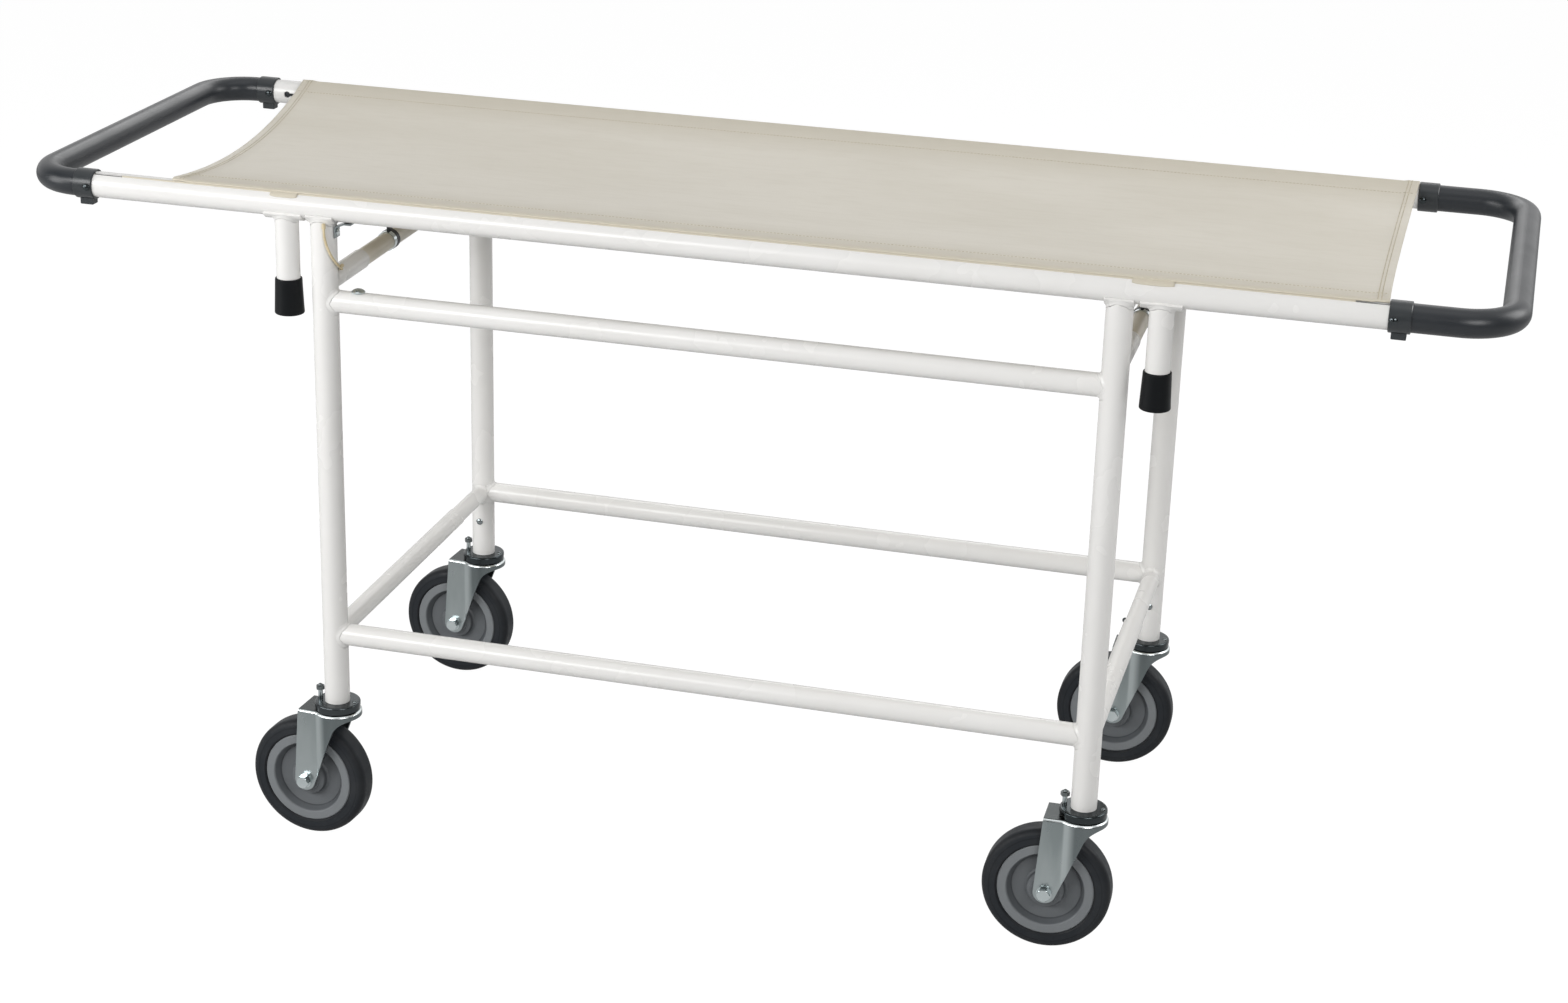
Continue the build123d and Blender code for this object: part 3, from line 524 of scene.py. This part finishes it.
def cloth_material(name, low, high, slub_and_shade_tone, period, weave):
    """Woven cloth: two crossing sets of threads, clouds of colour, browner slubs, and a browner painted shade
    beside the rails.
    """
    shader = Shader(name)
    shader.set(Roughness=0.88, Sheen_Weight=0.15, Sheen_Roughness=0.5, Specular_IOR_Level=0.25)
    threads = []
    for direction in ("X", "Y"):
        wave = shader.nodes.new("ShaderNodeTexWave")
        wave.wave_type = "BANDS"
        wave.bands_direction = direction
        # At a scale of 1 the bands lie 2 pi / 20 apart
        wave.inputs["Scale"].default_value = 2 * math.pi / 20 / period
        wave.inputs["Distortion"].default_value = 0.6
        wave.inputs["Detail"].default_value = 1.0
        shader.links.new(shader.place, wave.inputs["Vector"])
        threads.append(wave.outputs["Fac"])
    cloth = shader.math("MAXIMUM", threads[0], threads[1])
    slubs = shader.noise(scale=95.0, detail=4.0, stretch=(0.25, 1.0, 1.0))
    clouds = shader.noise(scale=4.2, detail=4.0, stretch=(0.6, 1.4, 1.0))
    colour = shader.ramp(clouds, low, high, start=0.30, end=0.70)
    # Painted shade: browner towards the rails, where the cloth meets them
    away = shader.math("ABSOLUTE", shader.along(shader.place, (0.0, 1.0, 0.0)), 0.0)
    shade_distance = shader.math("ADD", away, shader.spread(clouds, -0.012, 0.012))
    rail_shade_share = shader.spread(shade_distance, 0.0, 0.55, start=half_track - 0.095, end=half_track + 0.012)
    colour = shader.mix(rail_shade_share, colour, slub_and_shade_tone)
    colour = shader.mix(shader.spread(slubs, 0.0, 0.10, start=0.45, end=0.75), colour, slub_and_shade_tone)
    shader.link(colour, "Base Color")
    shader.bump(shader.math("ADD", cloth, slubs), strength=weave, distance=0.0004)
    return shader.material


# Brown for the slubs and for the painted shade beside the rails
canvas_slub_and_rail_shade = (0.520, 0.465, 0.350)
canvas_cloth = cloth_material(
    "canvas_cloth",
    (0.725, 0.683, 0.588),
    (0.780, 0.740, 0.650),
    canvas_slub_and_rail_shade,
    period=0.0013,
    weave=0.35,
)
thread = coated("thread", (0.50, 0.44, 0.32), (0.60, 0.54, 0.41), (0.80, 0.90), patch=300.0, grain=2500.0)
cord_cream = coated(
    "cord_cream",
    (0.55, 0.45, 0.27),
    (0.66, 0.56, 0.37),
    (0.70, 0.85),
    patch=120.0,
    grain=1800.0,
    depth=0.0002,
)

finishes = {
    "white_paint": white_paint,
    "handle_coat": handle_coat,
    "collar_plastic": collar_plastic,
    "canvas": canvas_cloth,
    "zinc": zinc,
    "dark_steel": dark_steel,
    "bright_steel": bright_steel,
    "tip_rubber": tip_rubber,
    "cord_cream": cord_cream,
    "black_plastic": black_plastic,
}
node_finishes = {
    "upper_bar_bolts": bright_steel,
    "cross_joint_bolts": dark_steel,
    "flange_bolts": stud_zinc,
    "rail_clip": zinc,
}


def finish_of(node, slot):
    """The material of a CAD node: wheels and forks have one each, because theirs follows the castor."""
    heading = math.radians(left_castor_heading if "_left_" in node else right_castor_heading)
    if node in node_finishes:
        return node_finishes[node]
    if slot == "tyre_rubber":
        return wheel_finish(node + "_rubber", node, heading, tyre_bands, rough=(0.42, 0.54), shine=0.16)
    if slot == "wheel_grey":
        return wheel_finish(node + "_grey", node, heading, rim_bands, rough=(0.36, 0.50), shine=0.22)
    if node.endswith("_castor_axle"):
        return bright_steel
    # The upper cross tubes carry the painted shade of the canvas's shadow
    if node.endswith("_upper_cross_tube"):
        return under_canvas_shade_paint
    if node.endswith("_castor_fork"):
        leg_x = bed_x + (-half_spacing if "_left_" in node else half_spacing)
        leg_y = -half_track if node.startswith("near") else half_track
        return fork_finish(node + "_zinc", (leg_x, leg_y, 0.0), heading)
    return finishes[slot]


for subpart in frame["record"]["subparts"]:
    finish = finish_of(subpart["node"], subpart["material_slot"])
    for slot in frame["nodes"][subpart["node"]].material_slots:
        slot.material = finish


# Canvas bed: one sheet over both rails, hemmed at its ends, with its stitching and edge tabs

sag_reach = (half_track**2 + canvas_sag**2) / (2 * canvas_sag)
lean_in = math.degrees(math.asin(half_track / sag_reach))
middle_radius = canvas_inner + canvas_thickness / 2


def around_rail(side, radius, outward):
    """A point round a rail, at an angle from its top towards the outside."""
    angle = math.radians(outward)
    return side * (half_track + radius * math.sin(angle)), rail_height + radius * math.cos(angle)


def cross_section(wrap_steps=9, sag_steps=64):
    """Points of the sheet's middle line, from the near edge to the far edge."""
    points = []
    for step in range(wrap_steps):
        outward = canvas_edge_angle - (canvas_edge_angle + lean_in) * step / wrap_steps
        points.append(around_rail(-1, middle_radius, outward))
    radius = sag_reach - middle_radius
    centre = rail_height + sag_reach - canvas_sag
    for step in range(sag_steps + 1):
        angle = math.radians(lean_in) * (2 * step / sag_steps - 1)
        points.append((radius * math.sin(angle), centre - radius * math.cos(angle)))
    return points + [(-y, z) for y, z in reversed(points[:wrap_steps])]


def left_edge(y):
    """Where the sheet starts, along its skewed left end."""
    share = (y + half_track) / (2 * half_track)
    bow = canvas_left_bow * (1 - (y / half_track) ** 2)
    return bed_x + canvas_near_left + (canvas_far_left - canvas_near_left) * share + max(bow, 0.0)


def right_edge(y):
    """Where the sheet ends, bowed in a little between the rails."""
    bow = canvas_right_bow * (1 - (y / half_track) ** 2)
    return bed_x + canvas_right - max(bow, 0.0)


def ripple(x, y):
    """Slack in the stretched cloth: long shallow waves that die out at the rails."""
    free = max(1 - (y / half_track) ** 2, 0.0)
    waves = long_ripple * math.sin(7.1 * x + 3.0 * y) + short_ripple * math.sin(13.7 * x - 9.0 * y + 1.3)
    return waves * free


section = cross_section()

# Rows of points along the sheet, close together where the hems step down at both ends
length_steps = 150
ends_share = [0.0, 0.0028, 0.0095, 0.0112, 0.0128]
stations = ends_share + [
    ends_share[-1] + (1 - 2 * ends_share[-1]) * step / length_steps for step in range(1, length_steps)
] + [1 - share for share in reversed(ends_share)]


def sheet_point(share, y, z):
    """A point of the sheet at a share of its length."""
    x0, x1 = left_edge(y), right_edge(y)
    x = x0 + (x1 - x0) * share
    from_end = min(x - x0, x1 - x)
    lift = hem_lift * (1 - smoothstep(hem_width - hem_step, hem_width + hem_step, from_end))
    return x, y, z + ripple(x, y) * smoothstep(0.0, calm_end, from_end) + lift


sheet_vertices = [sheet_point(share, y, z) for share in stations for y, z in section]
canvas = add_mesh("canvas_sheet", sheet_vertices, grid_faces(len(stations), len(section)))
paint(canvas, canvas_cloth)
solidify = canvas.modifiers.new("thickness", "SOLIDIFY")
solidify.thickness = cloth_thickness
solidify.offset = 0.0
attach(canvas, "stretcher")
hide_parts("canvas_bed")


def stitch_row(place, count, width=0.0007, fill=0.68):
    """A row of raised thread stitches along a path, given as a function from 0 to 1 to a point."""
    vertices = []
    faces = []
    for number in range(count):
        start = Vector(place(number / count))
        end = Vector(place((number + fill) / count))
        along = (end - start).normalized()
        aside = along.cross(Vector((0, 0, 1))).normalized() * width
        rise = Vector((0, 0, width * 0.9))
        base = len(vertices)
        for share, size in ((0.0, 0.35), (0.25, 1.0), (0.75, 1.0), (1.0, 0.35)):
            middle = start.lerp(end, share)
            vertices += [middle - aside * size, middle + rise * size, middle + aside * size]
        for face in grid_faces(4, 3, wrap=True) + [(0, 1, 2), (11, 10, 9)]:
            faces.append(tuple(base + corner for corner in face))
    return vertices, faces


def on_sheet(share, y):
    """A point on top of the sheet: across at y, along at a share of its length."""
    for first, second in zip(section, section[1:]):
        if first[0] <= y <= second[0]:
            part = (y - first[0]) / (second[0] - first[0])
            x, y, z = sheet_point(share, y, first[1] + (second[1] - first[1]) * part)
            return x, y, z + stitch_seat
    raise ValueError("outside the sheet")


def across_row(inset, from_left):
    """A stitch row along a hem, at a distance from the sheet's end."""
    reach = half_track + hem_stitch_overrun

    def place(share):
        y = -reach + 2 * reach * share
        length = right_edge(y) - left_edge(y)
        along = inset / length if from_left else 1 - inset / length
        return on_sheet(along, y)

    return place


def along_row(y, end_share=0.002):
    """A stitch row along the bed, inside a rail."""
    return lambda share: on_sheet(end_share + (1 - 2 * end_share) * share, y)


rows = []
for from_left in (True, False):
    for inset in hem_stitch_insets:
        rows.append(stitch_row(across_row(inset, from_left), hem_stitches))
for y in (-half_track + side_stitch_inset, half_track - side_stitch_inset):
    rows.append(stitch_row(along_row(y), side_stitches))
stitch_vertices, stitch_faces = joined(rows)
stitching = add_mesh("canvas_stitching", stitch_vertices, stitch_faces)
paint(stitching, thread)
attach(stitching, "stretcher")


def edge_tab(name, low, high, top=17.0, bottom=50.0, corner_trim=5.0):
    """A short tab of canvas lapped down over the near rail."""
    rows_along, rows_round = 14, 12
    vertices = []
    for i in range(rows_along + 1):
        x = bed_x + low + (high - low) * i / rows_along
        trim = corner_trim * (2 * i / rows_along - 1) ** 4
        for j in range(rows_round + 1):
            outward = top + (bottom - trim - top) * j / rows_round
            y, z = around_rail(-1, rail_radius + tab_gap, outward)
            vertices.append((x, y, z))
    tab = add_mesh(name, vertices, grid_faces(rows_along + 1, rows_round + 1))
    thickness = tab.modifiers.new("thickness", "SOLIDIFY")
    thickness.thickness = tab_thickness
    thickness.offset = 0.0
    paint(tab, canvas_cloth)
    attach(tab, "stretcher")
    return tab


tabs = [edge_tab("left_edge_tab", *left_tab_span), edge_tab("right_edge_tab", *right_tab_span)]


def edge_web(name, side, half_width=0.0016, steps=60):
    """The edge of the cloth standing in a rail's slot, between the ends of the two handles."""
    tilt = math.radians(canvas_edge_angle)
    profile = [
        (-half_width, rail_radius - web_depth),
        (-half_width, rail_radius),
        (-0.5 * half_width, rail_radius + web_crown),
        (0.5 * half_width, rail_radius + web_crown),
        (half_width, rail_radius),
        (half_width, rail_radius - web_depth),
    ]
    vertices = []
    for step in range(steps + 1):
        x = bed_x + web_half_length * (2 * step / steps - 1)
        for across, height in profile:
            outward = height * math.sin(tilt) + across * math.cos(tilt)
            rise = height * math.cos(tilt) - across * math.sin(tilt)
            vertices.append((x, side * (half_track + outward), rail_height + rise))
    columns = len(profile)
    faces = grid_faces(steps + 1, columns, wrap=True)
    faces.append(tuple(range(columns)))
    faces.append(tuple(steps * columns + column for column in reversed(range(columns))))
    web = add_mesh(name, vertices, faces, smooth=False)
    paint(web, canvas_cloth)
    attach(web, "stretcher")
    return web


webs = [edge_web("near_edge_web", -1), edge_web("far_edge_web", 1)]


# Lanyard on the near left leg: the same points as the cord in the part's source

cord_start = (0.007565, -0.016992, 0.8230)
cord_end = (0.00755, 0.0300, 0.762577)
cord_route = [
    cord_start,
    (cord_start[0], cord_start[1], cord_start[2] - 0.0060),
    (cord_start[0] + 0.0009, cord_start[1] - 0.0003, cord_start[2] - 0.0130),
    (cord_start[0] + 0.0033, cord_start[1], cord_start[2] - 0.0220),
    (cord_start[0] + 0.0072, cord_start[1] + 0.0022, cord_start[2] - 0.0335),
    (cord_start[0] + 0.0111, cord_start[1] + 0.0075, cord_end[2] + 0.0170),
    (cord_start[0] + 0.0133, cord_start[1] + 0.0144, cord_end[2] + 0.0100),
    (cord_end[0] + 0.0130, cord_end[1] - 0.0256, cord_end[2] + 0.0054),
    (cord_end[0] + 0.0087, cord_end[1] - 0.0168, cord_end[2] + 0.0024),
    (cord_end[0] + 0.0029, cord_end[1] - 0.0094, cord_end[2] + 0.0006),
    (cord_end[0], cord_end[1] - 0.0040, cord_end[2]),
    cord_end,
]
cord_curve = bpy.data.curves.new("lanyard_cord", "CURVE")
cord_curve.dimensions = "3D"
cord_curve.bevel_depth = cord_radius
cord_curve.bevel_resolution = 4
cord_curve.use_fill_caps = True
spline = cord_curve.splines.new("NURBS")
spline.points.add(len(cord_route) - 1)
for point, (x, y, z) in zip(spline.points, cord_route):
    point.co = (left_leg_x + x, near_y + y, z, 1.0)
spline.order_u = 3
spline.use_endpoint_u = True
spline.resolution_u = 10
lanyard = bpy.data.objects.new("lanyard_cord", cord_curve)
bpy.context.collection.objects.link(lanyard)
paint(lanyard, cord_cream)
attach(lanyard, "wheel_frame")
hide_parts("lanyard")


# Painted weld fillets where the tubes meet

def fillet_ring(sections, steps=5):
    """A closed ring of fillet: each section runs from one surface to the other round a hollow curve."""
    vertices = []
    for first, corner, second, inside in sections:
        for step in range(steps + 1):
            share = step / steps
            vertices.append(first.lerp(corner, share).lerp(corner.lerp(second, share), share))
        vertices.append(inside)
    columns = steps + 2
    faces = grid_faces(len(sections), columns, wrap=True)
    last = (len(sections) - 1) * columns
    for column in range(columns):
        after = (column + 1) % columns
        faces.append((last + column, last + after, after, column))
    return vertices, faces


def uneven(angle, number):
    """The slight unevenness of a hand weld round its ring."""
    return 1 + 0.09 * math.sin(9 * angle + number) + 0.06 * math.sin(17 * angle + 2.3 * number)


def tube_weld(centre, direction, tube_radius, post_radius, leg_length, number, steps=56, root_share=0.10):
    """The fillet where a level tube meets an upright post."""
    aside = Vector((-direction.y, direction.x, 0.0))
    widest = 0.995 * post_radius
    sections = []
    for step in range(steps):
        angle = 2 * math.pi * step / steps
        spread = leg_length * uneven(angle, number)
        ring = []
        for radius in (tube_radius, tube_radius + spread):
            across = max(min(radius * math.sin(angle), widest), -widest)
            along = math.sqrt(post_radius**2 - across**2)
            height = radius * math.cos(angle)
            ring.append(centre + direction * along + aside * across + Vector((0, 0, height)))
        corner, on_post = ring
        sections.append((corner + direction * spread, corner, on_post, corner.lerp(centre, root_share)))
    return fillet_ring(sections)


def post_weld(centre, post_radius, cradle_radius, reach, leg_length, number, steps=56):
    """The fillet where an upright post meets the round underside of a cradle along X."""
    widest = 0.86 * cradle_radius
    sections = []
    for step in range(steps):
        angle = 2 * math.pi * step / steps
        spread = leg_length * uneven(angle, number)
        ring = []
        for radius in (post_radius, post_radius + spread):
            along = max(min(radius * math.cos(angle), reach), -reach)
            across = max(min(radius * math.sin(angle), widest), -widest)
            ring.append(centre + Vector((along, across, -math.sqrt(cradle_radius**2 - across**2))))
        corner, on_cradle = ring
        inside = corner + Vector((-math.cos(angle), -math.sin(angle), 1)) * weld_root
        sections.append((corner - Vector((0, 0, spread)), corner, on_cradle, inside))
    return fillet_ring(sections)


def weld(name, rings, body):
    """One piece holding all the fillets of a body."""
    vertices, faces = joined(rings)
    piece = add_mesh(name, vertices, faces)
    mesh = bmesh.new()
    mesh.from_mesh(piece.data)
    bmesh.ops.recalc_face_normals(mesh, faces=mesh.faces)
    mesh.to_mesh(piece.data)
    mesh.free()
    paint(piece, white_paint)
    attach(piece, body)


frame_rings = []
stretcher_rings = []
for end in (-1, 1):
    for side in (-1, 1):
        leg = Vector((bed_x + end * half_spacing, side * half_track, 0.0))
        inward_x = Vector((-end, 0.0, 0.0))
        inward_y = Vector((0.0, -side, 0.0))
        across = cross_radius if side < 0 else stub_radius
        tubes = (
            (upper_bar_height, inward_x, bar_radius),
            (lower_bar_height, inward_x, bar_radius),
            (upper_cross_height, inward_y, across),
            (lower_bar_height, inward_y, across),
        )
        for height, direction, radius in tubes:
            centre = leg + Vector((0, 0, height))
            frame_rings.append(tube_weld(centre, direction, radius, leg_radius, bar_weld, len(frame_rings)))
        top = leg + Vector((0, 0, rail_height))
        frame_rings.append(
            post_weld(top, leg_radius, saddle_outer, saddle_length / 2, saddle_weld, len(frame_rings))
        )
        foot_leg = leg + Vector((end * foot_leg_offset, 0, rail_height))
        number = len(stretcher_rings)
        stretcher_rings.append(
            post_weld(foot_leg, foot_leg_radius, plate_outer, leg_plate_length / 2, plate_weld, number)
        )
weld("frame_welds", frame_rings, "wheel_frame")
weld("stretcher_welds", stretcher_rings, "stretcher")


# Floor, backdrop and light

floor_reach = 9.0
floor_grey = 0.52
floor_glow = 1.16
floor_white_share = 0.84
floor_gloss_share = 0.28
floor_corners = [(floor_reach * x, floor_reach * y, 0) for x, y in ((-1, -1), (1, -1), (1, 1), (-1, 1))]
floor = add_mesh("floor", floor_corners, [(0, 1, 2, 3)], smooth=False)
floor_material = bpy.data.materials.new("pale_floor")
floor_material.use_nodes = True
tree = floor_material.node_tree
tree.nodes.clear()
matt = tree.nodes.new("ShaderNodeBsdfDiffuse")
matt.inputs["Color"].default_value = (floor_grey, floor_grey, floor_grey, 1.0)
glow = tree.nodes.new("ShaderNodeEmission")
glow.inputs["Strength"].default_value = floor_glow
path = tree.nodes.new("ShaderNodeLightPath").outputs
direct = node_math(tree, "MAXIMUM", path["Is Camera Ray"], path["Is Transmission Ray"])
direct = node_math(tree, "MULTIPLY", direct, floor_white_share)
in_gloss = node_math(tree, "MULTIPLY", path["Is Glossy Ray"], floor_gloss_share)
direct = node_math(tree, "MAXIMUM", direct, in_gloss)
floor_mix = tree.nodes.new("ShaderNodeMixShader")
tree.links.new(direct, floor_mix.inputs["Fac"])
tree.links.new(matt.outputs["BSDF"], floor_mix.inputs[1])
tree.links.new(glow.outputs["Emission"], floor_mix.inputs[2])
floor_out = tree.nodes.new("ShaderNodeOutputMaterial")
tree.links.new(floor_mix.outputs["Shader"], floor_out.inputs["Surface"])
paint(floor, floor_material)

# The room: white for the camera, in gloss white behind and above the trolley, dimmer in front and beside it
room_low = 0.11
room_high = 0.15
gloss_in_front = 0.12
world = bpy.data.worlds.new("studio")
bpy.context.scene.world = world
world.use_nodes = True
tree = world.node_tree
background = tree.nodes["Background"]
background.inputs["Color"].default_value = (1.0, 1.0, 1.0, 1.0)
towards = tree.nodes.new("ShaderNodeSeparateXYZ")
tree.links.new(tree.nodes.new("ShaderNodeTexCoord").outputs["Generated"], towards.inputs["Vector"])
path = tree.nodes.new("ShaderNodeLightPath").outputs
behind = node_range(tree, towards.outputs["Y"], gloss_in_front, 1.0, start=-0.10, end=0.50)
above = node_range(tree, towards.outputs["Z"], 0.0, 1.0, start=0.62, end=0.90)
room = node_math(tree, "MAXIMUM", behind, above)
soft = node_range(tree, towards.outputs["Z"], room_low, room_high, start=-0.2, end=0.9)
gloss = node_math(tree, "MAXIMUM", path["Is Glossy Ray"], path["Is Transmission Ray"])
shown = node_math(tree, "MULTIPLY", gloss, node_math(tree, "SUBTRACT", room, soft))
strength = node_math(tree, "ADD", soft, shown)
strength = node_math(tree, "MAXIMUM", strength, path["Is Camera Ray"])
tree.links.new(strength, background.inputs["Strength"])


trolley_middle = Vector((0.0, 0.0, 0.5))


def area_light(name, place, size, energy):
    """A soft lamp that faces the middle of the trolley."""
    data = bpy.data.lights.new(name, "AREA")
    data.shape = "RECTANGLE"
    data.size, data.size_y = size
    data.energy = energy
    lamp = bpy.data.objects.new(name, data)
    lamp.location = place
    lamp.rotation_euler = (trolley_middle - Vector(place)).to_track_quat("-Z", "Y").to_euler()
    bpy.context.collection.objects.link(lamp)


area_light("key_light", place=(-1.8, -3.0, 2.1), size=(2.0, 1.0), energy=63.0)
area_light("right_light", place=(2.2, -2.8, 2.2), size=(1.6, 1.2), energy=50.0)
area_light("top_light", place=(0.0, -0.4, 3.4), size=(3.0, 1.2), energy=6.0)
area_light("back_light", place=(-0.6, 2.8, 2.6), size=(2.4, 1.2), energy=26.0)
area_light("right_back_light", place=(3.0, 1.0, 2.2), size=(1.6, 1.6), energy=42.0)
area_light("left_low_light", place=(-2.8, -1.6, 1.2), size=(1.4, 1.4), energy=34.0)
